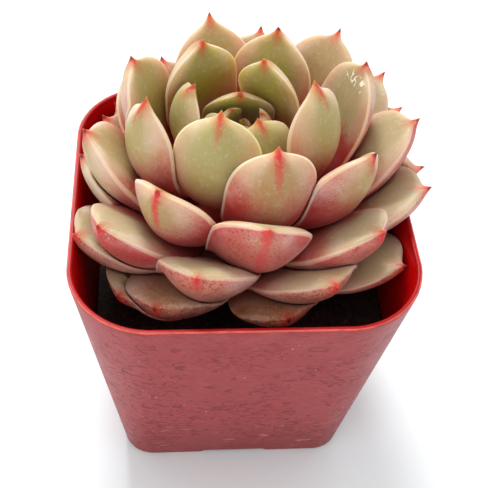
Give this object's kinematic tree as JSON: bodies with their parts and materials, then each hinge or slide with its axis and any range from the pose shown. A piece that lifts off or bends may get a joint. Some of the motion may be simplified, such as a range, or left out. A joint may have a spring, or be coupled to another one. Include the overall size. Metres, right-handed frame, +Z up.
{
  "type": "potted succulent",
  "caption": "Small echeveria rosette of thick keeled leaves with spined tips, standing in soil in a square tapered plastic nursery pot with rounded corners and drainage channels.",
  "frame": {"origin": "middle of the flat face that the pot stands on", "axes": "+Z up; the side seen in the picture faces -Y; the pot's sides are square to X and Y"},
  "size_m": [0.0584, 0.0583, 0.0719],
  "materials": {
    "pot": "satin",
    "soil": "matte",
    "stem": "matte",
    "leaf_bud": "satin",
    "leaf_inner": "satin",
    "leaf_middle": "satin",
    "leaf_outer": "satin"
  },
  "bodies": {
    "root": {"pot": "pot", "soil": "soil", "stem": "stem", "leaf_00": "leaf_bud", "leaf_01": "leaf_bud", "leaf_02": "leaf_bud", "leaf_03": "leaf_bud", "leaf_04": "leaf_bud", "leaf_05": "leaf_inner", "leaf_06": "leaf_inner", "leaf_07": "leaf_inner", "leaf_08": "leaf_inner", "leaf_09": "leaf_inner", "leaf_10": "leaf_inner", "leaf_11": "leaf_inner", "leaf_12": "leaf_inner", "leaf_13": "leaf_inner", "leaf_14": "leaf_inner", "leaf_15": "leaf_inner", "leaf_16": "leaf_inner", "leaf_17": "leaf_middle", "leaf_18": "leaf_middle", "leaf_19": "leaf_middle", "leaf_20": "leaf_middle", "leaf_21": "leaf_middle", "leaf_22": "leaf_middle", "leaf_23": "leaf_middle", "leaf_24": "leaf_middle", "leaf_25": "leaf_middle", "leaf_26": "leaf_middle", "leaf_27": "leaf_middle", "leaf_28": "leaf_middle", "leaf_29": "leaf_middle", "leaf_30": "leaf_middle", "leaf_31": "leaf_outer", "leaf_32": "leaf_outer", "leaf_33": "leaf_outer", "leaf_34": "leaf_outer", "leaf_35": "leaf_outer", "leaf_36": "leaf_outer", "leaf_37": "leaf_outer", "leaf_38": "leaf_outer", "leaf_39": "leaf_outer", "leaf_40": "leaf_outer", "leaf_42": "leaf_outer", "leaf_43": "leaf_outer", "leaf_44": "leaf_outer", "leaf_45": "leaf_outer", "leaf_46": "leaf_outer"}
  },
  "joints": []
}
